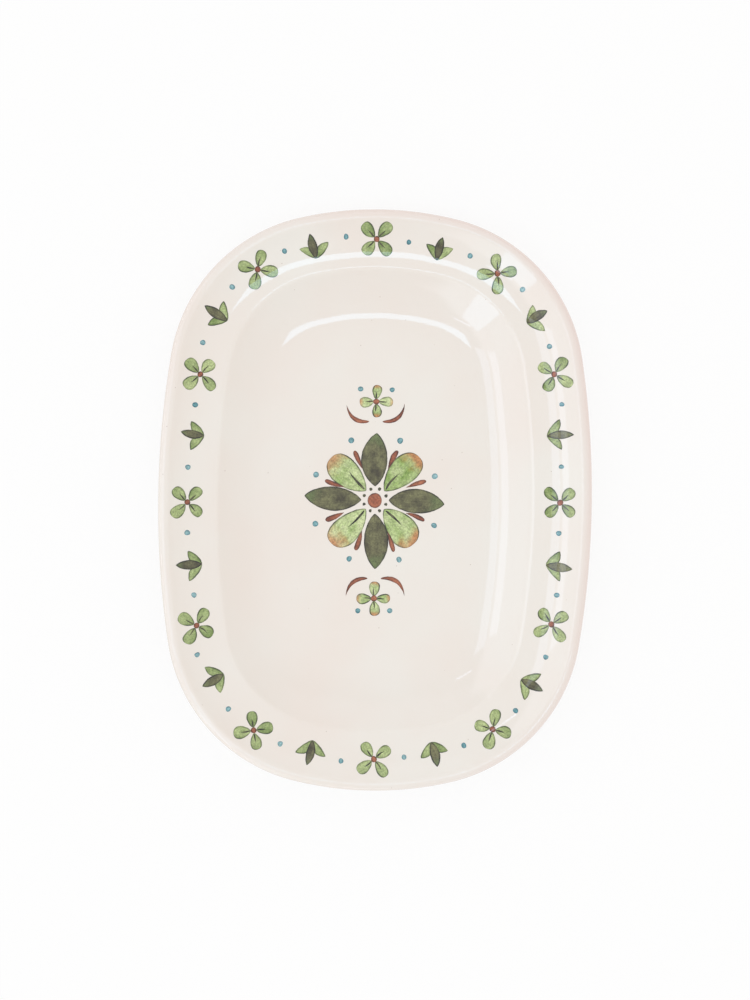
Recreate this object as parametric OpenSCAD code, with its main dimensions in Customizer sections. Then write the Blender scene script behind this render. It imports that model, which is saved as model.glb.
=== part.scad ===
// Oval-cornered serving dish in glazed earthenware, standing on a bare foot ring.
// Millimetres, +Z up, origin under the centre of the foot, length along Y.
// One section runs round eight tangent arcs: two long sides, two ends and four corners.

/* [Outline] */
// Width over the glazed lip
dish_w = 200; // [185:1:220]
// Length over the glazed lip
dish_l = 268; // [250:1:290]
// Radius of the four corners
corner_r = 77.5; // [73:0.5:85]
// Half of the angle that the arc of a long side turns through
side_sweep = 9; // [5:0.5:12]
// Half of the angle that the arc of an end turns through
end_sweep = 13.5; // [8:0.5:18]

/* [Rim] */
// Thickness of the fired clay
clay_t = 5.6; // [4.8:0.1:6.4]
// Radius of the hollow in the rim
rim_r = 36; // [32:0.5:40]
// Tilt of the rim at the lip
rim_tilt = 37; // [32:0.5:40]
// Tilt of the rim where it levels out at the shoulder
ledge_tilt = 2; // [0:0.5:6]
// Radius of the shoulder between the rim and the well
shoulder_r = 4; // [3:0.25:6]

/* [Well] */
// Tilt of the wall under the shoulder
wall_tilt = 38; // [34:0.5:42]
// Radius of the hollow in the wall
wall_r = 56; // [50:0.5:62]
// Tilt at which the wall turns into the floor curve
floor_tilt = 24; // [20:0.5:28]
// Radius of the curve between the wall and the flat floor
floor_r = 34; // [30:0.5:38]
// Radius that eases the outside under the shoulder
under_r = 12; // [8:0.5:16]

/* [Foot] */
// Height of the foot ring below the clay floor
foot_h = 4; // [3.8:0.1:6]
// Width of the foot ring, which stands just outside the flat of the floor
foot_w = 6; // [4.5:0.1:8]
// Radius between the foot ring and the underside
foot_fillet_r = 1.2; // [0.8:0.1:1.6]
// Radius along both edges that the foot stands on
foot_edge_r = 1.2; // [0.6:0.1:1.6]

/* [Glaze] */
// Thickness of the fired glaze
glaze_t = 0.4; // [0.35:0.05:0.6]
// Height up to which the foot is wiped bare
bare_h = 1.8; // [1.7:0.1:2]

/* [Hidden] */
quarter = 90;
half_turn = 180;

// Largest distance of a chord from the arc that it stands for
chord_sag = 0.04;
// Parts of a millimetre that the first of two moves keeps
move_grid = 1000;
// Lap of neighbouring stretches of the sweep, in degrees, which closes their seams
seam_lap = 0.000001;
// Facets of a full turn
$fn = 240;

// Places, as shares of the flat ring inside the foot, where the floor panel starts and the swept ring ends
panel_share = 0.3;
ring_share = 0.8;

// Centres and radii of the outline's arcs, each tangent to its neighbours
side_lean = tan(side_sweep / 2);
end_lean = tan(end_sweep / 2);
across = dish_w / 2 - corner_r;
along = dish_l / 2 - corner_r;
corner_x = (across - side_lean * along) / (1 - side_lean * end_lean);
corner_y = (along - end_lean * across) / (1 - side_lean * end_lean);
side_r = corner_r + corner_y / sin(side_sweep);
end_r = corner_r + corner_x / sin(end_sweep);
side_x = dish_w / 2 - side_r;
end_y = dish_l / 2 - end_r;
corner_sweep = quarter - side_sweep - end_sweep;

// Outline arcs in turn, each as centre, radius, first angle and angle turned
outline_arcs = [
  [[side_x, 0], side_r, -side_sweep, 2 * side_sweep],
  [[corner_x, corner_y], corner_r, side_sweep, corner_sweep],
  [[0, end_y], end_r, quarter - end_sweep, 2 * end_sweep],
  [[-corner_x, corner_y], corner_r, quarter + end_sweep, corner_sweep],
  [[-side_x, 0], side_r, half_turn - side_sweep, 2 * side_sweep],
  [[-corner_x, -corner_y], corner_r, half_turn + side_sweep, corner_sweep],
  [[0, -end_y], end_r, half_turn + quarter - end_sweep, 2 * end_sweep],
  [[corner_x, -corner_y], corner_r, half_turn + quarter + end_sweep, corner_sweep]
];

// Upward normal of a face that tilts down towards the middle, in the section's plane
function up(tilt) = [-sin(tilt), cos(tilt)];

// Centres of the section's arcs, from the lip in to the floor, with x = 0 at the outline
floor_z = foot_h + clay_t;
lip_to_floor = (clay_t / 2 + rim_r) * up(rim_tilt) - (rim_r + shoulder_r) * up(ledge_tilt)
  + (shoulder_r + wall_r) * up(wall_tilt) - (wall_r - floor_r) * up(floor_tilt) - floor_r * up(0);
lip_c = [-clay_t / 2 - glaze_t, floor_z - lip_to_floor.y];
rim_c = lip_c + (clay_t / 2 + rim_r) * up(rim_tilt);
shoulder_c = rim_c - (rim_r + shoulder_r) * up(ledge_tilt);
wall_c = shoulder_c + (shoulder_r + wall_r) * up(wall_tilt);
floor_c = wall_c - (wall_r - floor_r) * up(floor_tilt);

// Outer radii of rim and wall, and the arc that eases the two into each other from below
rim_under_r = rim_r + clay_t;
wall_under_r = wall_r + clay_t;
floor_under_r = floor_r + clay_t;
under_c = meeting(rim_c, rim_under_r + under_r, wall_c, wall_under_r + under_r);
rim_under_tilt = tilt_to(under_c, rim_c);
wall_under_tilt = tilt_to(under_c, wall_c);

// Sides of the foot ring, measured in from the outline, and the centres of its fillets
foot_in = -floor_c.x - foot_fillet_r;
foot_out = foot_in - foot_w;
fillet_in_c = [floor_c.x, foot_h - foot_fillet_r];
fillet_reach = floor_under_r + foot_fillet_r;
foot_tilt = asin((foot_fillet_r - foot_out - floor_c.x) / fillet_reach);
fillet_out_c = floor_c - fillet_reach * up(foot_tilt);

// Flat stretch inside the foot, up to the corners' centres
flat_ring = corner_r + floor_c.x;
panel_inset = panel_share * flat_ring - floor_c.x;
ring_inset = ring_share * flat_ring - floor_c.x;

// Lower of the two points that lie at given distances from two centres
function meeting(a, a_r, b, b_r) =
  let (
    gap = norm(b - a),
    run = (gap * gap + a_r * a_r - b_r * b_r) / (2 * gap),
    rise = sqrt(a_r * a_r - run * run),
    dir = (b - a) / gap,
    side = dir.x > 0 ? [dir.y, -dir.x] : [-dir.y, dir.x]
  )
  a + run * dir + rise * side;

// Tilt of a face whose normal points from one point to another
function tilt_to(from, to) = atan2(from.x - to.x, to.y - from.y);

// Points along an arc, without its last one, where the next stretch starts
function arc(c, r, from, to) =
  let (
    chords = ceil(abs(to - from) / (2 * acos(1 - chord_sag / r))),
    turn = (to - from) / chords
  )
  [for (i = [0 : chords - 1]) c + r * [cos(from + i * turn), sin(from + i * turn)]];

// Arcs of a face hollow to its normal and of a face that bulges, from one tilt to another
function hollow(c, r, from, to) = arc(c, r, from - quarter, to - quarter);
function bulge(c, r, from, to) = arc(c, r, from + quarter, to + quarter);

function turned(points) = [for (i = [len(points) - 1 : -1 : 0]) points[i]];

// Upper face of a coat of given thickness on the clay, from the floor out to the lip
function face_path(coat) = concat(
  [[-ring_inset, floor_z + coat]],
  hollow(floor_c, floor_r - coat, 0, floor_tilt),
  hollow(wall_c, wall_r - coat, floor_tilt, wall_tilt),
  bulge(shoulder_c, shoulder_r + coat, wall_tilt, ledge_tilt),
  hollow(rim_c, rim_r - coat, ledge_tilt, rim_tilt),
  bulge(lip_c, clay_t / 2 + coat, rim_tilt, rim_tilt - half_turn)
);

// Underside of the same coat, from the lip in to the bare band on the outside of the foot
function under_path(coat) = concat(
  hollow(rim_c, rim_under_r + coat, rim_tilt, rim_under_tilt),
  bulge(under_c, under_r - coat, rim_under_tilt, wall_under_tilt),
  hollow(wall_c, wall_under_r + coat, wall_under_tilt, floor_tilt),
  hollow(floor_c, floor_under_r + coat, floor_tilt, foot_tilt),
  bulge(fillet_out_c, foot_fillet_r - coat, foot_tilt, quarter),
  [[coat - foot_out, fillet_out_c.y], [coat - foot_out, bare_h]]
);

// Bare standing part of the foot, from its outside to its inside
function foot_path() = concat(
  arc([-foot_out - foot_edge_r, foot_edge_r], foot_edge_r, 0, -quarter),
  [[-foot_out - foot_edge_r, 0]],
  arc([foot_edge_r - foot_in, foot_edge_r], foot_edge_r, -quarter, -half_turn),
  [[-foot_in, foot_edge_r]]
);

// Coat of given thickness inside the foot, from its bare band to the underside
function base_path(coat) = concat(
  [[-foot_in - coat, bare_h]],
  arc(fillet_in_c, foot_fillet_r - coat, 0, quarter),
  [[floor_c.x, foot_h - coat], [-ring_inset, foot_h - coat]]
);

// Moves shapes in a coarse and a fine step, which keeps the seams of the sweep exact
module moved(p) {
  coarse = [for (c = p) floor(c * move_grid) / move_grid];
  translate(coarse) translate(p - coarse) children();
}

// Runs a section round the outline
module swept(points) {
  for (a = outline_arcs) {
    moved([a[0].x, a[0].y, 0])
      rotate_extrude(angle = a[3] + 2 * seam_lap, start = a[2] - seam_lap)
        moved([a[1], 0]) polygon(points);
  }
}

// Flat panel that closes the middle of a swept ring, with its corners where the outline's arcs meet
module panel(z, t) {
  corners = [for (a = outline_arcs) a[0] + (a[1] - panel_inset) * [cos(a[2]), sin(a[2])]];
  translate([0, 0, z]) linear_extrude(t) polygon(corners);
}

module dish_body() {
  color("#e4d5bd") union() {
    swept(concat(face_path(0), under_path(0), foot_path(), base_path(0)));
    panel(foot_h, clay_t);
  }
}

module glaze_coat() {
  color("#efe8de") union() {
    swept(concat(face_path(glaze_t), under_path(glaze_t), turned(concat(face_path(0), under_path(0)))));
    panel(floor_z, glaze_t);
  }
}

module base_glaze() {
  color("#ece4d8") union() {
    swept(concat(base_path(glaze_t), turned(base_path(0))));
    panel(foot_h - glaze_t, glaze_t);
  }
}

dish_body();
glaze_coat();
base_glaze();
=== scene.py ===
import math
import random

import bmesh
import bpy
from mathutils import Matrix, Vector


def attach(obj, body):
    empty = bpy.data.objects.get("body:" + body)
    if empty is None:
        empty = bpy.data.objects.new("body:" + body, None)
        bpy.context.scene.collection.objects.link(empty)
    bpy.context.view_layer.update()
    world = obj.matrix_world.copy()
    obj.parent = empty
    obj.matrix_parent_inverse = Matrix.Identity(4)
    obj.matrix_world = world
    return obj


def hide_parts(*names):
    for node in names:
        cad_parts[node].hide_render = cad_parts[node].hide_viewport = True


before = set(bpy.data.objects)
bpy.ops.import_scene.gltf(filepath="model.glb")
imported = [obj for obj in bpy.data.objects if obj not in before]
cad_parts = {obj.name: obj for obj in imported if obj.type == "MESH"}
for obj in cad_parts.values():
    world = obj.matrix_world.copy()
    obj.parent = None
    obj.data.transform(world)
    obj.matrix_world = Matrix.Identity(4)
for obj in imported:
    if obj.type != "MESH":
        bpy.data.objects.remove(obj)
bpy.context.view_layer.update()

MM = 0.001
QUARTER, HALF_TURN = 90, 180
SEED = 7

# Sizes of the dish in millimetres and degrees, the same as in the part's source
DISH_W, DISH_L = 200, 268
CORNER_R, SIDE_SWEEP, END_SWEEP = 77.5, 9, 13.5
CLAY_T, RIM_R, RIM_TILT, LEDGE_TILT, SHOULDER_R = 5.6, 36, 37, 2, 4
WALL_TILT, WALL_R, FLOOR_TILT, FLOOR_R, UNDER_R = 38, 56, 24, 34, 12
FOOT_H, FOOT_W, FOOT_FILLET_R, FOOT_EDGE_R = 4, 6, 1.2, 1.2
GLAZE_T, BARE_H = 0.4, 1.8
RING_SHARE = 0.8

# Fineness of the swept meshes: stations round the outline, longest steps along the section in
# millimetres, how many times finer those are on the shoulder and lip and on the foot's outer fillet,
# fewest chords of an arc, and degrees between the points of a glaze bead
STATIONS = 320
SEEN_STEP, HIDDEN_STEP, BASE_STEP, FOOT_STEP = 0.7, 2.5, 0.2, 0.3
EDGE_FINENESS, FILLET_FINENESS = 2, 3
LEAST_CHORDS = 3
BEAD_STEP = 30

# Points nearer than this in millimetres become one, and edges sharper than this in degrees stay sharp
SWEPT_WELD, STROKE_WELD = 0.002, 0.004
SWEPT_SHARP, STROKE_SHARP = 60, 40

# Glaze: its gloss, the waves in its surface, the drift of its tone and the iron flecks in it
GLAZE_ROUGHNESS, GLAZE_IOR = 0.03, 1.6
WAVE_MM, WAVE_DEPTH_MM = 18, 0.1
DRIFT_MM = 45
FLECK_SPACING_MM, FLECK_R_MM, FLECK_SHARE = 9, 0.3, 0.45

# Painted shade on the lip: direction, in degrees from +X, of the side of the lip that faces away from the
# window, which a darker pinker tint shades, how far in from the lip that shade reaches, and how strongly at
# most.
# Thin glaze: how far up from the bare foot the clay tints it, and how strongly at most.
SHADED_LIP_SIDE = 25
LIP_SHADE_MM, LIP_SHADE_SHARE = 6.0, 0.65
THIN_FOOT_MM, THIN_FOOT_SHARE = 0.8, 0.8

# Bare clay: its dryness, and the size and depth of its grain
CLAY_ROUGHNESS, CLAY_IOR = 0.88, 1.5
CLAY_GRAIN_MM, CLAY_GRAIN_DEPTH_MM = 0.5, 0.1

# Brushwork in millimetres: pools of wet colour, marks of the brush's hairs, granulation of the pigment,
# and the dark line at a stroke's edge with the raggedness that the granulation gives it. Along a stroke
# the hair marks change at a small share of the pace that they have across it.
POOL_MM, HAIR_MM, GRAIN_MM = 5.0, 0.8, 0.8
EDGE_LINE_MM, EDGE_RAG_MM = 0.62, 0.5
HAIR_PACE = 0.15

# Film of colour in millimetres: its height over the glaze and its depth in it, how far its edge strays
# and over what length, and the distance that keeps the pools of different strokes apart. The straying
# grows to its full measure over about a tenth of the stroke at each end.
FILM_MM, SUNK_MM = 0.05, 0.02
STRAY_MM, STRAY_LENGTH_MM = 0.5, 2.2
POOLS_APART_MM = 100
STRAY_ONSET = 12.0

# Height from which a stroke is dropped on the glaze and the farthest that it falls, in millimetres
DROP_FROM_MM, DROP_MM = 60, 100

# Sockets of a Mix node that hold its two colours and the mixed one
FIRST, SECOND, MIXED = 6, 7, 2


def sin(angle):
    return math.sin(math.radians(angle))


def cos(angle):
    return math.cos(math.radians(angle))


# Outline: two sides, two ends and four corners, each arc tangent to the next
side_lean = math.tan(math.radians(SIDE_SWEEP / 2))
end_lean = math.tan(math.radians(END_SWEEP / 2))
past_corner_x = DISH_W / 2 - CORNER_R
past_corner_y = DISH_L / 2 - CORNER_R
corner_x = (past_corner_x - side_lean * past_corner_y) / (1 - side_lean * end_lean)
corner_y = (past_corner_y - end_lean * past_corner_x) / (1 - side_lean * end_lean)
side_r = CORNER_R + corner_y / sin(SIDE_SWEEP)
end_r = CORNER_R + corner_x / sin(END_SWEEP)
side_x = DISH_W / 2 - side_r
end_y = DISH_L / 2 - end_r


def rim_point(angle, inset):
    """Point in millimetres, at a distance inside the outline, where its normal has the given angle."""
    c, s = cos(angle), sin(angle)
    lean = math.degrees(math.atan2(abs(s), abs(c)))
    if lean < SIDE_SWEEP:
        x, y, r = side_x, 0, side_r
    elif lean > QUARTER - END_SWEEP:
        x, y, r = 0, end_y, end_r
    else:
        x, y, r = corner_x, corner_y, CORNER_R
    return Vector((x * math.copysign(1, c), y * math.copysign(1, s))) + (r - inset) * Vector((c, s))


def up(tilt):
    """Upward normal of a face that tilts down towards the middle, in the section's plane."""
    return Vector((-sin(tilt), cos(tilt)))


# Centres of the section's arcs, with x = 0 at the outline
floor_z = FOOT_H + CLAY_T
lip_to_floor = ((CLAY_T / 2 + RIM_R) * up(RIM_TILT) - (RIM_R + SHOULDER_R) * up(LEDGE_TILT)
                + (SHOULDER_R + WALL_R) * up(WALL_TILT) - (WALL_R - FLOOR_R) * up(FLOOR_TILT)
                - FLOOR_R * up(0))
lip_c = Vector((-CLAY_T / 2 - GLAZE_T, floor_z - lip_to_floor.y))
rim_c = lip_c + (CLAY_T / 2 + RIM_R) * up(RIM_TILT)
shoulder_c = rim_c - (RIM_R + SHOULDER_R) * up(LEDGE_TILT)
wall_c = shoulder_c + (SHOULDER_R + WALL_R) * up(WALL_TILT)
floor_c = wall_c - (WALL_R - FLOOR_R) * up(FLOOR_TILT)


def meeting(a, a_r, b, b_r):
    """Lower of the two points at given distances from two centres."""
    gap = (b - a).length
    run = (gap * gap + a_r * a_r - b_r * b_r) / (2 * gap)
    rise = math.sqrt(a_r * a_r - run * run)
    toward = (b - a) / gap
    side = Vector((toward.y, -toward.x)) if toward.x > 0 else Vector((-toward.y, toward.x))
    return a + run * toward + rise * side


def tilt_to(start, end):
    """Tilt of a face whose normal points from one point to another."""
    return math.degrees(math.atan2(start.x - end.x, end.y - start.y))


# Underside: the arc that eases rim and wall into each other, and the foot ring with its fillets
rim_under_r, wall_under_r, floor_under_r = RIM_R + CLAY_T, WALL_R + CLAY_T, FLOOR_R + CLAY_T
under_c = meeting(rim_c, rim_under_r + UNDER_R, wall_c, wall_under_r + UNDER_R)
rim_under_tilt = tilt_to(under_c, rim_c)
wall_under_tilt = tilt_to(under_c, wall_c)
foot_in = -floor_c.x - FOOT_FILLET_R
foot_out = foot_in - FOOT_W
fillet_in_c = Vector((floor_c.x, FOOT_H - FOOT_FILLET_R))
fillet_reach = floor_under_r + FOOT_FILLET_R
foot_tilt = math.degrees(math.asin((FOOT_FILLET_R - foot_out - floor_c.x) / fillet_reach))
fillet_out_c = floor_c - fillet_reach * up(foot_tilt)
ring_inset = RING_SHARE * (CORNER_R + floor_c.x) - floor_c.x


def arc(c, r, start, end, step):
    """Points along an arc, without its last one, where the next stretch starts."""
    count = max(LEAST_CHORDS, math.ceil(math.radians(abs(end - start)) * r / step))
    turn = (end - start) / count
    return [c + r * Vector((cos(start + i * turn), sin(start + i * turn))) for i in range(count)]


def hollow(c, r, start, end, step):
    """Arc from one tilt to another, with its centre on the side that up() points to."""
    return arc(c, r, start - QUARTER, end - QUARTER, step)


def bulge(c, r, start, end, step):
    """Arc from one tilt to another, with its centre on the side that up() points away from."""
    return arc(c, r, start + QUARTER, end + QUARTER, step)


def face_path(coat, step):
    """Upper face of a coat on the clay, from the floor out round the lip."""
    fine = step / EDGE_FINENESS
    return ([Vector((-ring_inset, floor_z + coat))]
            + hollow(floor_c, FLOOR_R - coat, 0, FLOOR_TILT, step)
            + hollow(wall_c, WALL_R - coat, FLOOR_TILT, WALL_TILT, step)
            + bulge(shoulder_c, SHOULDER_R + coat, WALL_TILT, LEDGE_TILT, fine)
            + hollow(rim_c, RIM_R - coat, LEDGE_TILT, RIM_TILT, step)
            + bulge(lip_c, CLAY_T / 2 + coat, RIM_TILT, RIM_TILT - HALF_TURN, fine))


def under_path(coat, step):
    """Underside of the same coat, from the lip in to the outside of the foot."""
    return (hollow(rim_c, rim_under_r + coat, RIM_TILT, rim_under_tilt, step)
            + bulge(under_c, UNDER_R - coat, rim_under_tilt, wall_under_tilt, step)
            + hollow(wall_c, wall_under_r + coat, wall_under_tilt, FLOOR_TILT, step)
            + hollow(floor_c, floor_under_r + coat, FLOOR_TILT, foot_tilt, step)
            + bulge(fillet_out_c, FOOT_FILLET_R - coat, foot_tilt, QUARTER, step / FILLET_FINENESS))


def foot_path(step):
    """Bare standing part of the foot, from its outside to its inside."""
    edge = FOOT_EDGE_R
    return (arc(Vector((-foot_out - edge, edge)), edge, 0, -QUARTER, step)
            + arc(Vector((edge - foot_in, edge)), edge, -QUARTER, -HALF_TURN, step)
            + [Vector((-foot_in, edge))])


def base_path(coat, step):
    """Coat inside the foot, from its bare band to the middle of the underside."""
    return (arc(fillet_in_c, FOOT_FILLET_R - coat, 0, QUARTER, step)
            + [Vector((floor_c.x, FOOT_H - coat)), Vector((-ring_inset, FOOT_H - coat))])


def glaze_bead(x, outward):
    """Rounded edge in which the glaze ends on the foot, drawn from its open side to its clay side.
    Outward is 1 where the open side looks towards +x and -1 where it looks towards -x."""
    half = GLAZE_T / 2
    return [Vector((x + outward * half * cos(a), BARE_H + half + half * sin(a)))
            for a in range(0, -HALF_TURN - 1, -BEAD_STEP)]


coat_section = (face_path(GLAZE_T, SEEN_STEP) + under_path(GLAZE_T, SEEN_STEP)
                + glaze_bead(GLAZE_T / 2 - foot_out, 1)
                + (face_path(0, HIDDEN_STEP) + under_path(0, HIDDEN_STEP))[::-1])
base_section = (base_path(GLAZE_T, BASE_STEP)[::-1]
                + glaze_bead(-foot_in - GLAZE_T / 2, -1)
                + base_path(0, BASE_STEP))
clay_section = (face_path(0, HIDDEN_STEP) + under_path(0, HIDDEN_STEP)
                + foot_path(FOOT_STEP) + base_path(0, FOOT_STEP))


def linear(hex_colour):
    """Linear RGBA of an sRGB hex value."""
    channels = [int(hex_colour[i:i + 2], 16) / 255 for i in (1, 3, 5)]
    return tuple(c / 12.92 if c <= 0.04045 else ((c + 0.055) / 1.055) ** 2.4 for c in channels) + (1.0,)


def add(tree, kind, inputs=None, **settings):
    """Adds one node. Settings are its properties. Each input is a value, another node's output, or a
    node, which stands for its first output."""
    node = tree.nodes.new(kind)
    for name, value in settings.items():
        setattr(node, name, value)
    for key, value in (inputs or {}).items():
        if isinstance(value, bpy.types.Node):
            value = value.outputs[0]
        if isinstance(value, bpy.types.NodeSocket):
            tree.links.new(value, node.inputs[key])
        else:
            node.inputs[key].default_value = value
    return node


def new_tree(name, inputs):
    """Geometry Nodes tree with named inputs. Returns it and the outputs of its Group Input."""
    tree = bpy.data.node_groups.new(name, "GeometryNodeTree")
    tree.interface.new_socket("Geometry", in_out="INPUT", socket_type="NodeSocketGeometry")
    for label, kind in inputs.items():
        tree.interface.new_socket(label, in_out="INPUT", socket_type="NodeSocket" + kind)
    tree.interface.new_socket("Geometry", in_out="OUTPUT", socket_type="NodeSocketGeometry")
    return tree, add(tree, "NodeGroupInput").outputs


def grown(name, base_mesh, tree, values):
    """Plain mesh that a tree makes from a base mesh, as an object at the origin."""
    seed_obj = bpy.data.objects.new(name + "_base", base_mesh)
    bpy.context.scene.collection.objects.link(seed_obj)
    modifier = seed_obj.modifiers.new("grow", "NODES")
    modifier.node_group = tree
    for item in tree.interface.items_tree:
        if item.in_out == "INPUT" and item.name in values:
            modifier[item.identifier] = values[item.name]
    depsgraph = bpy.context.evaluated_depsgraph_get()
    mesh = bpy.data.meshes.new_from_object(seed_obj.evaluated_get(depsgraph))
    mesh.name = name
    seed_obj.modifiers.remove(modifier)
    bpy.data.objects.remove(seed_obj)
    obj = bpy.data.objects.new(name, mesh)
    bpy.context.scene.collection.objects.link(obj)
    return obj


def smoothed(obj, sharp_angle):
    """Shades the faces smooth and keeps edges sharper than the angle."""
    obj.data.shade_smooth()
    obj.data.set_sharp_from_angle(angle=math.radians(sharp_angle))
    return obj


def sweep_tree():
    """Runs a section round the outline and closes the middle with two flat panels.

    The section is a line in the XZ plane with x = 0 at the outline. A station's place on the outline
    follows from the angle of the outline's normal alone, so any inset of it has the same stations.
    """
    sizes = ("Side Radius", "Side Centre", "Side Lean", "End Radius", "End Centre", "End Lean",
             "Corner Radius", "Corner X", "Corner Y", "Panel Inset", "First Panel Height",
             "Last Panel Height")
    tree, given = new_tree("swept_dish_section", {"Stations": "Int", **dict.fromkeys(sizes, "Float"),
                                                  "Material": "Material"})
    on_points = {"data_type": "FLOAT_VECTOR", "domain": "POINT"}
    place = add(tree, "GeometryNodeInputPosition")

    # Shell and panels, which still lie on a ring of radius 1 and remember their place in the section
    line = add(tree, "GeometryNodeStoreNamedAttribute",
               {"Geometry": given["Geometry"], "Name": "section", "Value": place}, **on_points)
    profile = add(tree, "GeometryNodeMeshToCurve", {"Mesh": line})
    ring = add(tree, "GeometryNodeCurvePrimitiveCircle", {"Resolution": given["Stations"], "Radius": 1.0})
    path = add(tree, "GeometryNodeStoreNamedAttribute",
               {"Geometry": ring, "Name": "facing", "Value": place}, **on_points)
    shell = add(tree, "GeometryNodeCurveToMesh", {"Curve": path, "Profile Curve": profile})
    joined = add(tree, "GeometryNodeJoinGeometry", {"Geometry": shell})
    panel_x = add(tree, "ShaderNodeMath", {0: 0.0, 1: given["Panel Inset"]}, operation="SUBTRACT")
    for height in ("First Panel Height", "Last Panel Height"):
        panel = add(tree, "GeometryNodeMeshCircle", {"Vertices": given["Stations"], "Radius": 1.0},
                    fill_type="NGON")
        edge = add(tree, "ShaderNodeCombineXYZ", {"X": panel_x, "Z": given[height]})
        for name, value in (("facing", place), ("section", edge)):
            panel = add(tree, "GeometryNodeStoreNamedAttribute",
                        {"Geometry": panel, "Name": name, "Value": value}, **on_points)
        tree.links.new(panel.outputs[0], joined.inputs[0])

    # Centre and radius of the outline's arc, worked out in the first quarter of the dish
    facing = add(tree, "GeometryNodeInputNamedAttribute", {"Name": "facing"}, data_type="FLOAT_VECTOR")
    section = add(tree, "GeometryNodeInputNamedAttribute", {"Name": "section"}, data_type="FLOAT_VECTOR")
    in_section = add(tree, "ShaderNodeSeparateXYZ", {0: section}).outputs
    mirror = add(tree, "ShaderNodeVectorMath", {0: facing}, operation="SIGN")
    outward = add(tree, "ShaderNodeVectorMath", {0: facing}, operation="ABSOLUTE")
    parts = add(tree, "ShaderNodeSeparateXYZ", {0: outward}).outputs
    lean = add(tree, "ShaderNodeMath", {0: parts["Y"], 1: parts["X"]}, operation="ARCTAN2")
    on_side = add(tree, "FunctionNodeCompare", {"A": lean, "B": given["Side Lean"]},
                  operation="LESS_THAN")
    on_end = add(tree, "FunctionNodeCompare", {"A": lean, "B": given["End Lean"]},
                 operation="GREATER_THAN")
    side_arc = add(tree, "ShaderNodeCombineXYZ", {"X": given["Side Centre"], "Z": given["Side Radius"]})
    end_arc = add(tree, "ShaderNodeCombineXYZ", {"Y": given["End Centre"], "Z": given["End Radius"]})
    corner_arc = add(tree, "ShaderNodeCombineXYZ",
                     {"X": given["Corner X"], "Y": given["Corner Y"], "Z": given["Corner Radius"]})
    off_side = add(tree, "GeometryNodeSwitch", {"Switch": on_end, "False": corner_arc, "True": end_arc},
                   input_type="VECTOR")
    chosen = add(tree, "GeometryNodeSwitch", {"Switch": on_side, "False": off_side, "True": side_arc},
                 input_type="VECTOR")
    of_arc = add(tree, "ShaderNodeSeparateXYZ", {0: chosen}).outputs
    centre = add(tree, "ShaderNodeCombineXYZ", {"X": of_arc["X"], "Y": of_arc["Y"]})

    # Each point's place: out from that centre, mirrored into its own quarter, and raised
    reach = add(tree, "ShaderNodeMath", {0: of_arc["Z"], 1: in_section["X"]}, operation="ADD")
    from_centre = add(tree, "ShaderNodeVectorMath", {0: outward, "Scale": reach}, operation="SCALE")
    first_quarter = add(tree, "ShaderNodeVectorMath", {0: from_centre, 1: centre}, operation="ADD")
    plan = add(tree, "ShaderNodeVectorMath", {0: first_quarter, 1: mirror}, operation="MULTIPLY")
    rise = add(tree, "ShaderNodeCombineXYZ", {"Z": in_section["Z"]})
    target = add(tree, "ShaderNodeVectorMath", {0: plan, 1: rise}, operation="ADD")
    inset = add(tree, "ShaderNodeMath", {0: in_section["X"], 1: -1 / MM}, operation="MULTIPLY")
    kept = add(tree, "GeometryNodeStoreNamedAttribute",
               {"Geometry": joined, "Name": "inset_mm", "Value": inset}, data_type="FLOAT", domain="POINT")
    shaped = add(tree, "GeometryNodeSetPosition", {"Geometry": kept, "Position": target})
    for name in ("facing", "section"):
        shaped = add(tree, "GeometryNodeRemoveAttribute", {"Geometry": shaped, "Name": name})
    welded = add(tree, "GeometryNodeMergeByDistance", {"Geometry": shaped, "Distance": SWEPT_WELD * MM})
    real = add(tree, "GeometryNodeRealizeInstances", {"Geometry": welded})
    dressed = add(tree, "GeometryNodeSetMaterial", {"Geometry": real, "Material": given["Material"]})
    add(tree, "NodeGroupOutput", {"Geometry": dressed})
    return tree


def swept(name, tree, section, material):
    """Closed piece with the given section in millimetres, its faces pointing outwards."""
    mesh = bpy.data.meshes.new(name + "_section")
    mesh.from_pydata([(p.x * MM, 0, p.y * MM) for p in section],
                     [(i, i + 1) for i in range(len(section) - 1)], [])
    lengths = {"Side Radius": side_r, "Side Centre": side_x, "End Radius": end_r, "End Centre": end_y,
               "Corner Radius": CORNER_R, "Corner X": corner_x, "Corner Y": corner_y,
               "Panel Inset": ring_inset, "First Panel Height": section[0].y,
               "Last Panel Height": section[-1].y}
    values = {label: length * MM for label, length in lengths.items()}
    values.update({"Stations": STATIONS, "Side Lean": math.radians(SIDE_SWEEP),
                   "End Lean": math.radians(QUARTER - END_SWEEP), "Material": material})
    obj = grown(name, mesh, tree, values)
    bm = bmesh.new()
    bm.from_mesh(obj.data)
    bmesh.ops.recalc_face_normals(bm, faces=bm.faces)
    bm.to_mesh(obj.data)
    bm.free()
    return smoothed(obj, SWEPT_SHARP)


def new_material(name):
    """Empty material and its node tree."""
    material = bpy.data.materials.new(name)
    material.use_nodes = True
    material.node_tree.nodes.clear()
    return material, material.node_tree


def set_ramp(ramp_node, *stops):
    """Gives a Color Ramp its two stops, each a position and a colour."""
    for element, (position, colour) in zip(ramp_node.color_ramp.elements, stops):
        element.position = position
        element.color = linear(colour)


def glaze_waves(tree, coords):
    """Slight waves of a glaze that ran while it was molten, as a normal. They make mirrored lamps a
    little uneven."""
    waves = add(tree, "ShaderNodeTexNoise",
                {"Vector": coords, "Scale": 1 / (WAVE_MM * MM), "Detail": 1.0})
    return add(tree, "ShaderNodeBump",
               {"Strength": 1.0, "Distance": WAVE_DEPTH_MM * MM, "Height": waves})


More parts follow.
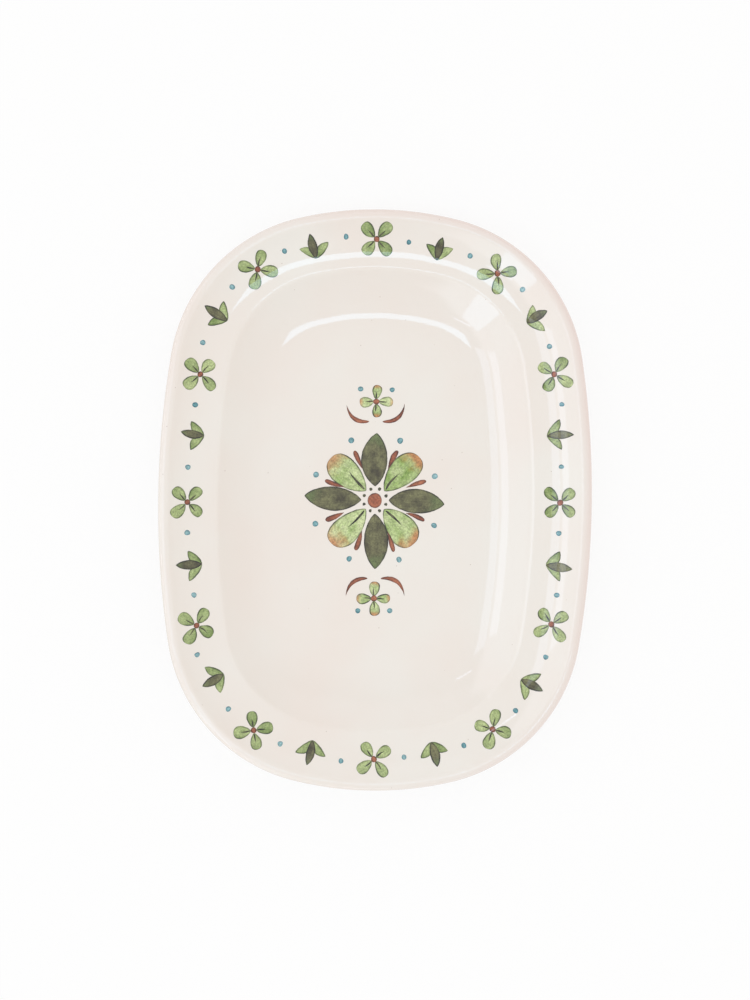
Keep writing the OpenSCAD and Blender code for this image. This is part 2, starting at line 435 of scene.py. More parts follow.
def cream_earthenware_glaze():
    """Clear glaze, dipped and fired glossy over cream clay. It gives sharp mirrored lamps, a warm white
    that drifts between pink and grey over a few centimetres, a thinner coat at the foot that the clay
    tints, a darker pinker painted shade on the outer lip on the side away from the window, and here and
    there a small brown fleck of iron."""
    material, tree = new_material("cream_earthenware_glaze_dipped_and_fired")
    coords = add(tree, "ShaderNodeTexCoord").outputs["Object"]
    drift = add(tree, "ShaderNodeTexNoise",
                {"Vector": coords, "Scale": 1 / (DRIFT_MM * MM), "Detail": 2.0, "Roughness": 0.5})
    tone = add(tree, "ShaderNodeValToRGB", {"Fac": drift})
    set_ramp(tone, (0.3, "#f1e8df"), (0.7, "#f1ede5"))

    # Shares of the painted shade on the lip, of the clay's tint on the thin foot, and of the flecks
    inset = add(tree, "ShaderNodeAttribute", attribute_name="inset_mm").outputs["Fac"]
    # Painted shade: the lip's tint grows from nothing on the window side to its full share on the far side
    to_shaded_side = add(tree, "ShaderNodeVectorMath",
                       {0: coords, 1: (cos(SHADED_LIP_SIDE), sin(SHADED_LIP_SIDE), 0.0)},
                       operation="DOT_PRODUCT").outputs["Value"]
    lip_shade_share = add(tree, "ShaderNodeMapRange",
                  {"Value": to_shaded_side, "From Min": -DISH_W / 2 * MM, "From Max": DISH_W / 2 * MM,
                   "To Min": 0.0, "To Max": LIP_SHADE_SHARE})
    lip = add(tree, "ShaderNodeMapRange",
              {"Value": inset, "From Min": 0.0, "From Max": LIP_SHADE_MM, "To Min": lip_shade_share, "To Max": 0.0},
              interpolation_type="SMOOTHSTEP")
    height = add(tree, "ShaderNodeSeparateXYZ", {0: coords}).outputs["Z"]
    foot = add(tree, "ShaderNodeMapRange",
               {"Value": height, "From Min": BARE_H * MM, "From Max": (BARE_H + THIN_FOOT_MM) * MM,
                "To Min": THIN_FOOT_SHARE, "To Max": 0.0}, interpolation_type="SMOOTHSTEP")
    grit = add(tree, "ShaderNodeTexVoronoi", {"Vector": coords, "Scale": 1 / (FLECK_SPACING_MM * MM)})
    fleck_r = FLECK_R_MM / FLECK_SPACING_MM
    fleck = add(tree, "ShaderNodeMapRange",
                {"Value": grit.outputs["Distance"], "From Min": fleck_r / 2, "From Max": fleck_r,
                 "To Min": FLECK_SHARE, "To Max": 0.0})
    colour = tone.outputs["Color"]
    # The lip's tint is painted shade, the foot's is the clay under thin glaze, and the flecks are iron
    for share, tint in ((lip, "#ecdad4"), (foot, "#d8c4a2"), (fleck, "#94795c")):
        colour = add(tree, "ShaderNodeMix", {0: share, FIRST: colour, SECOND: linear(tint)},
                     data_type="RGBA").outputs[MIXED]
    shader = add(tree, "ShaderNodeBsdfPrincipled",
                 {"Base Color": colour, "Roughness": GLAZE_ROUGHNESS, "IOR": GLAZE_IOR,
                  "Normal": glaze_waves(tree, coords)})
    add(tree, "ShaderNodeOutputMaterial", {"Surface": shader})
    return material


def biscuit_earthenware():
    """Pale clay, wiped bare and fired without glaze. It gives a dry matt surface with a fine sandy grain
    that is darker in its hollows."""
    material, tree = new_material("biscuit_earthenware_wiped_bare")
    coords = add(tree, "ShaderNodeTexCoord").outputs["Object"]
    grain = add(tree, "ShaderNodeTexNoise",
                {"Vector": coords, "Scale": 1 / (CLAY_GRAIN_MM * MM), "Detail": 4.0, "Roughness": 0.65})
    tone = add(tree, "ShaderNodeValToRGB", {"Fac": grain})
    set_ramp(tone, (0.32, "#d3bfa2"), (0.66, "#ebdec9"))
    bump = add(tree, "ShaderNodeBump",
               {"Strength": 0.4, "Distance": CLAY_GRAIN_DEPTH_MM * MM, "Height": grain})
    shader = add(tree, "ShaderNodeBsdfPrincipled",
                 {"Base Color": tone, "Roughness": CLAY_ROUGHNESS, "IOR": CLAY_IOR, "Normal": bump})
    add(tree, "ShaderNodeOutputMaterial", {"Surface": shader})
    return material


def underglaze_wash(name, pale, deep, ink, tip=None):
    """Colour brushed on in one watery stroke under the glaze. It gives the glaze's own gloss, pools of
    deeper colour in a pale wash, faint hair marks along the stroke, pigment that gathers in a dark broken
    line at its edge, and a fine granulation, which is drawn coarser than real so that it shows."""
    material, tree = new_material("underglaze_" + name + "_brushed_wash")
    coords = add(tree, "ShaderNodeTexCoord").outputs["Object"]
    brush = add(tree, "ShaderNodeAttribute", attribute_name="brush_mm").outputs["Vector"]
    along = add(tree, "ShaderNodeAttribute", attribute_name="along").outputs["Fac"]
    tone = add(tree, "ShaderNodeAttribute", attribute_name="tone").outputs["Fac"]
    from_edge = add(tree, "ShaderNodeAttribute", attribute_name="from_edge_mm").outputs["Fac"]

    # Load of colour: more in pools, along single hairs and in strokes made with a full brush
    pools = add(tree, "ShaderNodeTexNoise", {"Vector": brush, "Scale": 1 / POOL_MM, "Detail": 2.0})
    drawn_out = add(tree, "ShaderNodeVectorMath", {0: brush, 1: (HAIR_PACE, 1.0, 1.0)},
                    operation="MULTIPLY")
    hairs = add(tree, "ShaderNodeTexNoise", {"Vector": drawn_out, "Scale": 1 / HAIR_MM, "Detail": 1.0})
    grain = add(tree, "ShaderNodeTexNoise",
                {"Vector": coords, "Scale": 1 / (GRAIN_MM * MM), "Detail": 2.0, "Roughness": 0.7})
    load = add(tree, "ShaderNodeMath", {0: tone, 1: 0.3, 2: pools}, operation="MULTIPLY_ADD")
    load = add(tree, "ShaderNodeMath", {0: hairs, 1: 0.35, 2: load}, operation="MULTIPLY_ADD")
    wet = add(tree, "ShaderNodeMapRange", {"Value": load, "From Min": 0.55, "From Max": 1.1})
    colour = add(tree, "ShaderNodeMix", {0: wet, FIRST: linear(pale), SECOND: linear(deep)},
                 data_type="RGBA").outputs[MIXED]

    # Second colour that was let run in at the tip
    if tip:
        far = add(tree, "ShaderNodeMath", {0: pools, 1: 0.5, 2: along}, operation="MULTIPLY_ADD")
        blush = add(tree, "ShaderNodeMapRange",
                    {"Value": far, "From Min": 0.9, "From Max": 1.25, "To Max": 0.8},
                    interpolation_type="SMOOTHSTEP")
        colour = add(tree, "ShaderNodeMix", {0: blush, FIRST: colour, SECOND: linear(tip)},
                     data_type="RGBA").outputs[MIXED]

    # Dark line at the edge, ragged by the granulation and weaker where there is little colour
    ragged = add(tree, "ShaderNodeMath", {0: grain, 1: -EDGE_RAG_MM, 2: from_edge},
                 operation="MULTIPLY_ADD")
    line = add(tree, "ShaderNodeMapRange",
               {"Value": ragged, "From Min": 0.0, "From Max": EDGE_LINE_MM, "To Min": 1.0, "To Max": 0.0},
               interpolation_type="SMOOTHSTEP")
    broken = add(tree, "ShaderNodeMapRange",
                 {"Value": pools, "From Min": 0.35, "From Max": 0.6, "To Min": 0.4, "To Max": 1.0})
    gathered = add(tree, "ShaderNodeMath", {0: line, 1: broken}, operation="MULTIPLY")
    colour = add(tree, "ShaderNodeMix", {0: gathered, FIRST: colour, SECOND: linear(ink)},
                 data_type="RGBA").outputs[MIXED]
    grit = add(tree, "ShaderNodeMapRange",
               {"Value": grain, "From Min": 0.3, "From Max": 0.7, "To Min": 0.6, "To Max": 1.3})
    gritty = add(tree, "ShaderNodeHueSaturation", {"Value": grit, "Color": colour})
    shader = add(tree, "ShaderNodeBsdfPrincipled",
                 {"Base Color": gritty, "Roughness": GLAZE_ROUGHNESS, "IOR": GLAZE_IOR,
                  "Normal": glaze_waves(tree, coords)})
    add(tree, "ShaderNodeOutputMaterial", {"Surface": shader})
    return material


# Numbers that each stroke has of its own: direction, length, girth with the powers by which it swells and
# narrows, sideways bend, height over other strokes, and load of colour
OWN_SHAPE = ("heading", "length", "girth", "base_power", "tip_power", "bend", "layer")
OWN_NUMBERS = OWN_SHAPE + ("tone",)


def stroke_tree():
    """Lays a brush stroke at each anchor, shapes it by the anchor's own numbers and drops it on the glaze.

    The edge strays a little, but less and less towards both ends, where the stroke would otherwise fold.
    """
    tree, given = new_tree("brush_strokes",
                           {"Canvas": "Object", "Steps Along": "Int", "Steps Across": "Int",
                            "Lift": "Float", "Edge Wobble": "Float", "Wobble Scale": "Float",
                            "Seed": "Float", "Material": "Material"})

    # One grid for each anchor, with rows closer together at both ends
    place = add(tree, "GeometryNodeInputPosition")
    grid = add(tree, "GeometryNodeMeshGrid",
               {"Size X": 1.0, "Size Y": 2.0, "Vertices X": given["Steps Along"],
                "Vertices Y": given["Steps Across"]})
    on_grid = add(tree, "ShaderNodeSeparateXYZ", {0: place}).outputs
    share = add(tree, "ShaderNodeMath", {0: on_grid["X"], 1: 0.5}, operation="ADD")
    turn = add(tree, "ShaderNodeMath", {0: share, 1: math.pi}, operation="MULTIPLY")
    swing = add(tree, "ShaderNodeMath", {0: turn}, operation="COSINE")
    eased = add(tree, "ShaderNodeMath", {0: swing, 1: -0.5, 2: 0.5}, operation="MULTIPLY_ADD")
    for name, value in (("along", eased), ("across", on_grid["Y"])):
        grid = add(tree, "GeometryNodeStoreNamedAttribute",
                   {"Geometry": grid, "Name": name, "Value": value}, data_type="FLOAT", domain="POINT")
    homes = add(tree, "GeometryNodeStoreNamedAttribute",
                {"Geometry": given["Geometry"], "Name": "home", "Value": place},
                data_type="FLOAT_VECTOR", domain="POINT")
    points = add(tree, "GeometryNodeMeshToPoints", {"Mesh": homes})
    spread = add(tree, "GeometryNodeInstanceOnPoints", {"Points": points, "Instance": grid})
    real = add(tree, "GeometryNodeRealizeInstances", {"Geometry": spread})

    # Outline of the stroke, flat and pointing along +X
    own = {name: add(tree, "GeometryNodeInputNamedAttribute", {"Name": name}, data_type="FLOAT")
           for name in ("along", "across") + OWN_NUMBERS}
    home = add(tree, "GeometryNodeInputNamedAttribute", {"Name": "home"}, data_type="FLOAT_VECTOR")
    to_tip = add(tree, "ShaderNodeMath", {0: 1.0, 1: own["along"]}, operation="SUBTRACT")
    swell = add(tree, "ShaderNodeMath", {0: own["along"], 1: own["base_power"]}, operation="POWER")
    taper = add(tree, "ShaderNodeMath", {0: to_tip, 1: own["tip_power"]}, operation="POWER")
    fullness = add(tree, "ShaderNodeMath", {0: swell, 1: taper}, operation="MULTIPLY")
    width = add(tree, "ShaderNodeMath", {0: fullness, 1: own["girth"]}, operation="MULTIPLY")
    from_ends = add(tree, "ShaderNodeMath", {0: own["along"], 1: to_tip}, operation="MULTIPLY")
    bow = add(tree, "ShaderNodeMath", {0: from_ends, 1: own["bend"]}, operation="MULTIPLY")
    aside = add(tree, "ShaderNodeMath", {0: width, 1: own["across"], 2: bow}, operation="MULTIPLY_ADD")
    ahead = add(tree, "ShaderNodeMath", {0: own["along"], 1: own["length"]}, operation="MULTIPLY")

    # What the colour follows: distance from the edge, and a place on the brush that no two strokes share
    off_middle = add(tree, "ShaderNodeMath", {0: own["across"]}, operation="ABSOLUTE")
    edge_share = add(tree, "ShaderNodeMath", {0: 1.0, 1: off_middle}, operation="SUBTRACT")
    inward = add(tree, "ShaderNodeMath", {0: edge_share, 1: width}, operation="MULTIPLY")
    from_edge = add(tree, "ShaderNodeMath", {0: inward, 1: 1 / MM}, operation="MULTIPLY")
    apart = add(tree, "ShaderNodeMath", {0: own["tone"], 1: POOLS_APART_MM * MM}, operation="MULTIPLY")
    drawn = add(tree, "ShaderNodeCombineXYZ", {"X": ahead, "Y": aside, "Z": apart})
    brush = add(tree, "ShaderNodeVectorMath", {0: drawn, "Scale": 1 / MM}, operation="SCALE")
    for name, kind, value in (("from_edge_mm", "FLOAT", from_edge), ("brush_mm", "FLOAT_VECTOR", brush)):
        real = add(tree, "GeometryNodeStoreNamedAttribute",
                   {"Geometry": real, "Name": name, "Value": value}, data_type=kind, domain="POINT")

    # Place on the dish seen from above, with the unsteady edge
    flat = add(tree, "ShaderNodeCombineXYZ", {"X": ahead, "Y": aside})
    turned = add(tree, "ShaderNodeVectorRotate", {"Vector": flat, "Angle": own["heading"]},
                 rotation_type="Z_AXIS")
    steady = add(tree, "ShaderNodeVectorMath", {0: turned, 1: home}, operation="ADD")
    noise = add(tree, "ShaderNodeTexNoise",
                {"Vector": steady, "W": given["Seed"], "Scale": given["Wobble Scale"], "Detail": 2.0},
                noise_dimensions="4D").outputs["Color"]
    centred = add(tree, "ShaderNodeVectorMath", {0: noise, 1: (0.5, 0.5, 0.5)}, operation="SUBTRACT")
    free = add(tree, "ShaderNodeMath", {0: from_ends, 1: STRAY_ONSET}, operation="MULTIPLY", use_clamp=True)
    wobble = add(tree, "ShaderNodeMath", {0: free, 1: given["Edge Wobble"]}, operation="MULTIPLY")
    stray = add(tree, "ShaderNodeVectorMath", {0: centred, "Scale": wobble}, operation="SCALE")
    spot = add(tree, "ShaderNodeVectorMath", {0: steady, 1: stray}, operation="ADD")

    # Drop on the glaze
    level = add(tree, "ShaderNodeVectorMath", {0: spot, 1: (1.0, 1.0, 0.0)}, operation="MULTIPLY")
    above = add(tree, "ShaderNodeVectorMath", {0: level, 1: (0.0, 0.0, DROP_FROM_MM * MM)},
                operation="ADD")
    canvas = add(tree, "GeometryNodeObjectInfo", {"Object": given["Canvas"]}, transform_space="RELATIVE")
    hit = add(tree, "GeometryNodeRaycast",
              {"Target Geometry": canvas.outputs["Geometry"], "Source Position": above,
               "Ray Direction": (0.0, 0.0, -1.0), "Ray Length": DROP_MM * MM}).outputs
    raised = add(tree, "ShaderNodeMath", {0: own["layer"], 1: given["Lift"]}, operation="ADD")
    lift = add(tree, "ShaderNodeVectorMath", {0: hit["Hit Normal"], "Scale": raised}, operation="SCALE")
    target = add(tree, "ShaderNodeVectorMath", {0: hit["Hit Position"], 1: lift}, operation="ADD")
    shaped = add(tree, "GeometryNodeSetPosition", {"Geometry": real, "Position": target})
    for name in ("home",) + OWN_SHAPE:
        shaped = add(tree, "GeometryNodeRemoveAttribute", {"Geometry": shaped, "Name": name})
    welded = add(tree, "GeometryNodeMergeByDistance", {"Geometry": shaped, "Distance": STROKE_WELD * MM})
    whole = add(tree, "GeometryNodeRealizeInstances", {"Geometry": welded})
    dressed = add(tree, "GeometryNodeSetMaterial", {"Geometry": whole, "Material": given["Material"]})
    add(tree, "NodeGroupOutput", {"Geometry": dressed})
    return tree


def painted(name, tree, strokes, canvas, material, steps_along, steps_across):
    """One colour's strokes as a thin film. It lies on the glaze, not under it, as that is drawn opaque."""
    mesh = bpy.data.meshes.new(name + "_anchors")
    mesh.from_pydata([(s["at"].x * MM, s["at"].y * MM, 0) for s in strokes], [], [])
    for label in OWN_NUMBERS:
        numbers = mesh.attributes.new(label, "FLOAT", "POINT")
        numbers.data.foreach_set("value", [s[label] for s in strokes])
    obj = grown(name, mesh, tree,
                {"Canvas": canvas, "Steps Along": steps_along, "Steps Across": steps_across,
                 "Lift": FILM_MM * MM, "Edge Wobble": STRAY_MM * MM,
                 "Wobble Scale": 1 / (STRAY_LENGTH_MM * MM), "Seed": float(SEED), "Material": material})
    bm = bmesh.new()
    bm.from_mesh(obj.data)
    bmesh.ops.solidify(bm, geom=bm.faces[:], thickness=(FILM_MM + SUNK_MM) * MM)
    bm.to_mesh(obj.data)
    bm.free()
    return smoothed(obj, STROKE_SHARP)


# Main pieces
glaze_material = cream_earthenware_glaze()
sweep = sweep_tree()
glaze = swept("glaze_skin", sweep, coat_section, glaze_material)
base_skin = swept("base_glaze_skin", sweep, base_section, glaze_material)
clay = swept("clay_body", sweep, clay_section, biscuit_earthenware())
for piece, node, slot in ((glaze, "glaze_coat", "cream_glaze"), (base_skin, "base_glaze", "cream_glaze"),
                          (clay, "dish_body", "biscuit")):
    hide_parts(node)
    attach(piece, "root")

# Painted pieces, each with its colour and the steps of its strokes along and across
leaf_green = underglaze_wash("leaf_green", "#bccb8e", "#7b934f", "#3f4d2c")
dark_olive = underglaze_wash("dark_olive", "#83835a", "#433f2d", "#23251c", tip="#6f8150")
fruit_green = underglaze_wash("fruit_green", "#d6e2aa", "#86a650", "#313a24", tip="#cc7f55")
russet = underglaze_wash("russet", "#b8704f", "#8a4631", "#4f2920")
slate_blue = underglaze_wash("slate_blue", "#9dc5c9", "#5d98a1", "#467f8a")
painted_pieces = {
    "rim_petals": (leaf_green, 25, 5),
    "rim_lances": (dark_olive, 25, 5),
    "rim_veins": (dark_olive, 13, 3),
    "rim_dots": (slate_blue, 13, 5),
    "rim_eyes": (russet, 13, 5),
    "centre_petals": (fruit_green, 41, 7),
    "centre_points": (dark_olive, 49, 7),
    "centre_veins": (dark_olive, 17, 3),
    "centre_strokes": (russet, 33, 5),
    "centre_dots": (slate_blue, 13, 5),
    "centre_eyes": (russet, 21, 7),
}
laid = {name: [] for name in painted_pieces}

# Outlines of a stroke, as the powers by which it swells from its base and narrows to its tip
PETAL, LENS, DOT, DROP, COMMA = (0.75, 0.42), (0.8, 0.8), (0.5, 0.5), (1.0, 0.42), (0.42, 0.9)

# Strokes: outline, then start from the middle of the motif, length, width and bow in millimetres
RIM_PETAL = (PETAL, 1.2, 7.8, 5.4, 0.15)
RIM_VEIN = (COMMA, 1.6, 4.2, 0.7, 0.15)
RIM_DOT = (DOT, 0.0, 2.5, 2.3, 0.0)
SMALL_EYE = (DOT, -1.4, 2.8, 2.7, 0.0)
PALMETTE_LANCE = (LENS, 0.0, 11.4, 4.2, 0.2)
PALMETTE_PETAL = (LENS, 0.0, 9.2, 4.0, 0.9)
CENTRE_POINT = (LENS, 6.4, 26.5, 11.5, 0.6)
CENTRE_PETAL = (PETAL, 6.0, 21.5, 14.0, 0.4)
CENTRE_VEIN = (COMMA, 7.0, 10.5, 1.1, 0.4)
CENTRE_DROP = (DROP, 15.5, 10.0, 2.4, 0.2)
CENTRE_DOT = (DOT, 28.6, 2.8, 2.6, 0.0)
CENTRE_SEED = (DOT, 4.7, 1.5, 1.4, 0.0)
CENTRE_EYE = (DOT, -3.4, 6.8, 6.6, 0.0)
END_PETAL = (PETAL, 1.0, 6.8, 4.8, 0.1)
END_VEIN = (COMMA, 1.4, 3.6, 0.7, 0.1)
END_SCROLL = (COMMA, 0.0, 13.5, 2.1, 3.0)
END_DOT = (DOT, -1.2, 2.4, 2.3, 0.0)

# Places of the motifs in millimetres and degrees
UNITS, BAND_INSET, BAND_LOOK_STEP = 24, 14.0, 0.25
PALMETTE_DEPTH, PALMETTE_SPREAD = 5.4, 48
END_REACH, END_DOT_X, END_DOT_Y = 46, 7.4, 5.6
SCROLL_REACH, SCROLL_ASIDE, SCROLL_TURN = 36.5, 3.2, 52

# Heights over the first stroke in millimetres: each next petal, a stroke over petals, a dot on top
NEXT, OVER, ON_TOP = 0.004, 0.02, 0.04

# Unevenness of work done by hand: shares of a stroke's length and width, its heading in degrees and its
# bow in millimetres, then a motif's place along and across the band in millimetres, its lean in degrees,
# and the place across the band of a dot
LENGTH_PLAY, WIDTH_PLAY, HEADING_PLAY, BOW_PLAY = 0.07, 0.08, 5, 0.25
ALONG_PLAY, ACROSS_PLAY, LEAN_PLAY = 0.9, 0.7, 8
DOT_LOWEST, DOT_HIGHEST = -2.0, 1.2
rng = random.Random(SEED)


def ray(way, reach):
    """Vector of a given direction and length."""
    return reach * Vector((cos(way), sin(way)))


def lay(piece, middle, way, kind, mirror=1, layer=0.0):
    """Adds a stroke of one kind to a painted piece. It points away from the middle of its motif, and mirror
    is -1 where it bows to the other side. Its bend is four times its bow, the most that it stands aside."""
    outline, start, length, width, bow = kind
    length *= 1 + rng.uniform(-LENGTH_PLAY, LENGTH_PLAY)
    width *= 1 + rng.uniform(-WIDTH_PLAY, WIDTH_PLAY)
    heading = way + rng.uniform(-HEADING_PLAY, HEADING_PLAY)
    bow = bow * mirror + rng.uniform(-BOW_PLAY, BOW_PLAY)
    base, tip = outline
    fullest = (base / (base + tip)) ** base * (tip / (base + tip)) ** tip
    laid[piece].append({"at": middle + ray(way, start), "heading": math.radians(heading),
                        "length": length * MM, "girth": width / 2 / fullest * MM, "base_power": base,
                        "tip_power": tip, "bend": 4 * bow * MM, "layer": layer * MM, "tone": rng.random()})


def band_places(count, inset):
    """Places evenly spaced along an inset of the outline, each with the direction that faces outwards."""
    angles = [i * BAND_LOOK_STEP for i in range(int(2 * HALF_TURN / BAND_LOOK_STEP) + 1)]
    points = [rim_point(a, inset) for a in angles]
    runs = [0.0]
    for a, b in zip(points, points[1:]):
        runs.append(runs[-1] + (b - a).length)
    places = []
    j = 0
    for i in range(count):
        while runs[j] < runs[-1] * i / count:
            j += 1
        places.append((points[j], angles[j]))
    return places


def lay_rosette(part, middle, lean, petal, vein):
    """Four petals with veins, round an eye."""
    for k in range(4):
        way = lean + QUARTER * k
        lay(part + "_petals", middle, way, petal, layer=NEXT * k)
        lay(part + "_veins", middle, way, vein, layer=OVER)
    lay(part + "_eyes", middle, lean, SMALL_EYE, layer=ON_TOP)


def lay_rim():
    """Rosettes and palmettes in turn along the rim, with a dot between every two."""
    band = band_places(2 * UNITS, BAND_INSET)
    for i, (place, outward) in enumerate(band[::2]):
        place = place + ray(outward + QUARTER, rng.uniform(-ALONG_PLAY, ALONG_PLAY))
        place = place + ray(outward, rng.uniform(-ACROSS_PLAY, ACROSS_PLAY))
        if i % 2 == 0:
            lean = outward + QUARTER / 2 + rng.uniform(-LEAN_PLAY, LEAN_PLAY)
            lay_rosette("rim", place, lean, RIM_PETAL, RIM_VEIN)
        else:
            root = place - ray(outward, PALMETTE_DEPTH)
            lay("rim_lances", root, outward, PALMETTE_LANCE, layer=OVER)
            for side in (-1, 1):
                lay("rim_petals", root, outward + PALMETTE_SPREAD * side, PALMETTE_PETAL, mirror=-side,
                    layer=NEXT * side)
    for place, outward in band[1::2]:
        lay("rim_dots", place + ray(outward, rng.uniform(DOT_LOWEST, DOT_HIGHEST)), outward, RIM_DOT)


def lay_centre():
    """One large rosette in the middle of the floor, with a small one and two scrolls past each end."""
    middle = Vector((0, 0))
    for k in range(4):
        way = QUARTER * k
        between = way + QUARTER / 2
        lay("centre_points", middle, way, CENTRE_POINT, layer=NEXT * k)
        lay("centre_petals", middle, between, CENTRE_PETAL, layer=NEXT * k)
        lay("centre_veins", middle, between, CENTRE_VEIN, layer=OVER)
    for k in range(8):
        way = QUARTER / 4 + QUARTER / 2 * k
        lay("centre_strokes", middle, way, CENTRE_DROP, layer=OVER)
        lay("centre_dots", middle, way, CENTRE_DOT)
        lay("centre_veins", middle, way, CENTRE_SEED, layer=ON_TOP)
    lay("centre_eyes", middle, 0, CENTRE_EYE, layer=ON_TOP)
    for end in (-1, 1):
        past_end = ray(QUARTER * end, END_REACH)
        lay_rosette("centre", past_end, 0, END_PETAL, END_VEIN)
        for side in (-1, 1):
            root = ray(QUARTER * end, SCROLL_REACH) + ray(0, SCROLL_ASIDE * side)
            way = QUARTER * end - SCROLL_TURN * side * end
            lay("centre_strokes", root, way, END_SCROLL, mirror=-side * end)
            lay("centre_dots", past_end + Vector((END_DOT_X * side, END_DOT_Y * end)), 0, END_DOT)


lay_rim()
lay_centre()
brush_strokes = stroke_tree()
for name, (wash, steps_along, steps_across) in painted_pieces.items():
    piece = painted(name, brush_strokes, laid[name], glaze, wash, steps_along, steps_across)
    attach(piece, "root")

# Stage: white floor and world, which the camera and mirrored rays see as plain white. The floor's half
# side is in metres. A share of the floor that they see is that white, and the rest keeps the shadow.
FLOOR_HALF = 6.0
PLAIN_SHARE = 0.85
WHITE, PAPER = "#ffffff", "#fbfbfa"


def seen_directly(tree):
    """Light Path value that is 1 for camera, glossy and transmission rays."""
    rays = add(tree, "ShaderNodeLightPath").outputs
    seen = add(tree, "ShaderNodeMath", {0: rays["Is Camera Ray"], 1: rays["Is Glossy Ray"]},
               operation="MAXIMUM")
    return add(tree, "ShaderNodeMath", {0: seen, 1: rays["Is Transmission Ray"]}, operation="MAXIMUM")


def matt_white_paper():
    """Matt paper, evenly lit. It gives a plain white with the dish's soft shadow."""
    material, tree = new_material("matt_white_paper")
    plain = add(tree, "ShaderNodeMath", {0: seen_directly(tree), 1: PLAIN_SHARE}, operation="MULTIPLY")
    paper = add(tree, "ShaderNodeBsdfDiffuse", {"Color": linear(PAPER)})
    white = add(tree, "ShaderNodeEmission", {"Color": linear(WHITE), "Strength": 1.0})
    mixed = add(tree, "ShaderNodeMixShader", {0: plain, 1: paper, 2: white})
    add(tree, "ShaderNodeOutputMaterial", {"Surface": mixed})
    return material


floor_mesh = bpy.data.meshes.new("floor")
floor_corners = [(x * FLOOR_HALF, y * FLOOR_HALF, 0) for x, y in ((-1, -1), (1, -1), (1, 1), (-1, 1))]
floor_mesh.from_pydata(floor_corners, [], [(0, 1, 2, 3)])
floor_mesh.materials.append(matt_white_paper())
floor = bpy.data.objects.new("floor", floor_mesh)
bpy.context.scene.collection.objects.link(floor)

# Ambient light, cool and full from the window side, warm and weaker from the other
AMBIENT = 1.01
WINDOW_SIDE = 220
WARM_SHADE, COOL_LIGHT = "#f2ece8", "#f5f2ef"


def studio_world():
    """World that lights the dish with the ambient light and is plain white to the eye."""
    world = bpy.data.worlds.new("studio")
    world.use_nodes = True
    tree = world.node_tree
    tree.nodes.clear()
    direction = add(tree, "ShaderNodeTexCoord").outputs["Generated"]
    to_window = add(tree, "ShaderNodeVectorMath",
                    {0: direction, 1: (cos(WINDOW_SIDE), sin(WINDOW_SIDE), 0.0)},
                    operation="DOT_PRODUCT").outputs["Value"]
    cool_share = add(tree, "ShaderNodeMapRange", {"Value": to_window, "From Min": -1.0, "From Max": 1.0})
    tint = add(tree, "ShaderNodeMix",
               {0: cool_share, FIRST: linear(WARM_SHADE), SECOND: linear(COOL_LIGHT)},
               data_type="RGBA").outputs[MIXED]
    room = add(tree, "ShaderNodeBackground", {"Color": tint, "Strength": AMBIENT})
    backdrop = add(tree, "ShaderNodeBackground", {"Color": linear(WHITE), "Strength": 1.0})
    sky = add(tree, "ShaderNodeMixShader", {0: seen_directly(tree), 1: room, 2: backdrop})
    add(tree, "ShaderNodeOutputWorld", {"Surface": sky})
    return world


bpy.context.scene.world = studio_world()


def dim_edges(light, fade):
    """Dims a lamp smoothly towards its edges, over the given share of its half width."""
    light.use_nodes = True
    tree = light.node_tree
    tree.nodes.clear()
    spot = add(tree, "ShaderNodeNewGeometry").outputs["Parametric"]
    centred = add(tree, "ShaderNodeVectorMath", {0: spot, 1: (0.5, 0.5, 0.0)}, operation="SUBTRACT")
    distance = add(tree, "ShaderNodeVectorMath", {0: centred}, operation="ABSOLUTE")
    off_middle = add(tree, "ShaderNodeSeparateXYZ", {0: distance}).outputs
    levels = [add(tree, "ShaderNodeMapRange",
                  {"Value": off_middle[axis], "From Min": 0.5 * (1 - fade), "From Max": 0.5,
                   "To Min": 1.0, "To Max": 0.0}, interpolation_type="SMOOTHSTEP") for axis in "XY"]
    level = add(tree, "ShaderNodeMath", {0: levels[0], 1: levels[1]}, operation="MULTIPLY")
    glow = add(tree, "ShaderNodeEmission", {"Strength": level})
    add(tree, "ShaderNodeOutputLight", {"Surface": glow})


def softbox(name, azimuth, zenith, distance, width, height, radiance, colour,
            turn=0.0, shift=(0, 0), lean=0.0, fade=0.0):
    """Area light that faces the dish. Its place and its size are angles as the dish sees them, its
    distance is in metres and its radiance is given straight. Lean brings its lower edge nearer."""
    span_x = 2 * distance * math.tan(math.radians(width) / 2)
    span_y = 2 * distance * math.tan(math.radians(height) / 2) / cos(lean)
    light = bpy.data.lights.new(name, "AREA")
    light.shape = "RECTANGLE"
    light.size = span_x
    light.size_y = span_y
    light.energy = radiance * math.pi * span_x * span_y
    light.color = linear(colour)[:3]
    if fade:
        dim_edges(light, fade)
    lamp = bpy.data.objects.new(name, light)
    aside_x, aside_y = [distance * math.tan(math.radians(angle)) for angle in shift]
    lamp.matrix_world = (Matrix.Rotation(math.radians(azimuth + QUARTER), 4, "Z")
                         @ Matrix.Rotation(math.radians(zenith), 4, "X")
                         @ Matrix.Rotation(math.radians(turn), 4, "Z")
                         @ Matrix.Translation((aside_x, aside_y, distance))
                         @ Matrix.Rotation(math.radians(lean), 4, "X"))
    bpy.context.scene.collection.objects.link(lamp)
    return lamp


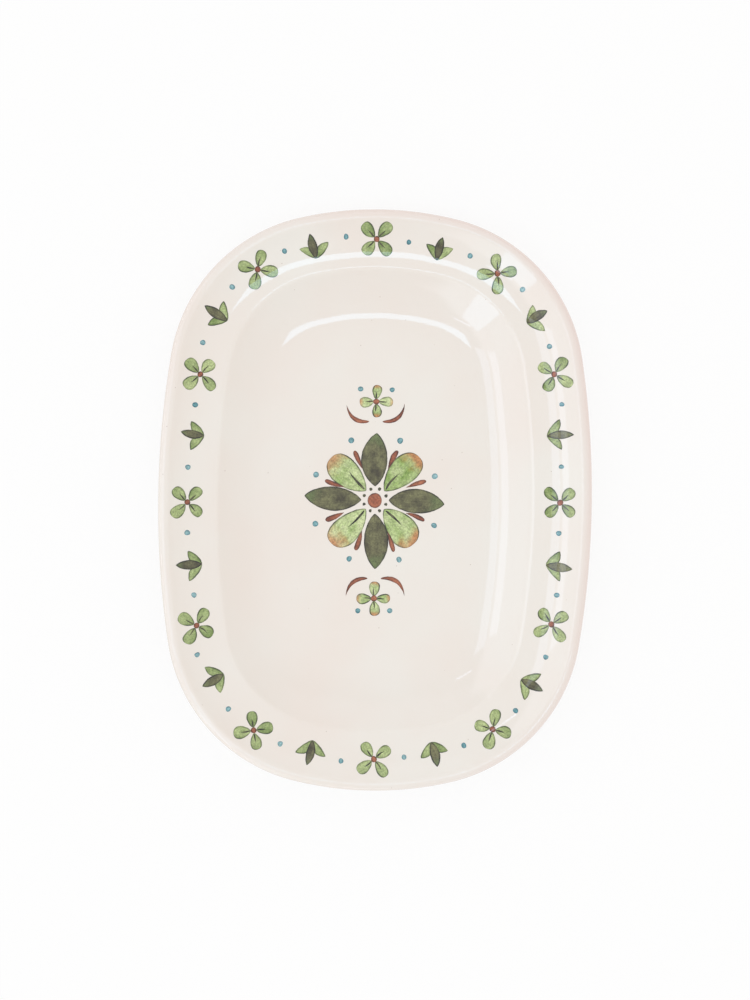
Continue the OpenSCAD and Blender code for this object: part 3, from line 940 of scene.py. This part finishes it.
# Lamps: a strip overhead, the two panes of a window, two tubes, and four cards that only reflections show
DAYLIGHT, SOFT_DAYLIGHT, PALE_WALL = "#b1dfff", "#cbdfff", "#f4f2ff"
softbox("front_strip", azimuth=270, zenith=10.7, distance=1.55, width=31, height=8.2, radiance=3.25,
        colour=DAYLIGHT)
softbox("lower_pane", azimuth=184, zenith=33, distance=2.0, width=17, height=9.6, radiance=1.3,
        colour=SOFT_DAYLIGHT, turn=6, shift=(0.5, -9.3))
softbox("upper_pane", azimuth=184, zenith=33, distance=2.0, width=21.2, height=11.6, radiance=1.45,
        colour=SOFT_DAYLIGHT, turn=6, shift=(-1.3, 5.7))
softbox("upper_tube", azimuth=135, zenith=35, distance=2.0, width=10.5, height=1.8, radiance=3.3,
        colour=SOFT_DAYLIGHT, turn=-38)
softbox("lower_tube", azimuth=231, zenith=35, distance=2.0, width=10, height=1.6, radiance=3.0,
        colour=SOFT_DAYLIGHT, turn=39)
cards = [
    softbox("corner_softbox", azimuth=226, zenith=52, distance=1.8, width=13, height=27, radiance=1.8,
            colour=DAYLIGHT, lean=42),
    softbox("left_wall", azimuth=195, zenith=52, distance=2.2, width=115, height=46, radiance=0.85,
            colour=PALE_WALL, fade=0.35),
    softbox("left_window", azimuth=210, zenith=85.5, distance=2.2, width=130, height=8, radiance=4.0,
            colour=PALE_WALL, fade=0.2),
    softbox("back_wall", azimuth=90, zenith=58, distance=2.2, width=80, height=50, radiance=0.35,
            colour=PALE_WALL, fade=0.7),
]
for card in cards:
    card.visible_diffuse = False

# Camera straight above the dish, with the small turn that the dish has in the photograph
CAMERA_HEIGHT = 1.3
SENSOR_MM = 36
MM_PER_PIXEL = 0.461
IMAGE_HEIGHT = 1000
IMAGE_TURN = 0.676
camera_data = bpy.data.cameras.new("camera")
camera_data.sensor_width = SENSOR_MM
camera_data.lens = SENSOR_MM * (CAMERA_HEIGHT - lip_c.y * MM) / (MM_PER_PIXEL * IMAGE_HEIGHT * MM)
camera = bpy.data.objects.new("camera", camera_data)
camera.location = (0, 0, CAMERA_HEIGHT)
camera.rotation_euler = (0, 0, math.radians(IMAGE_TURN))
bpy.context.scene.collection.objects.link(camera)
bpy.context.scene.camera = camera
bpy.context.scene.view_settings.view_transform = "Standard"
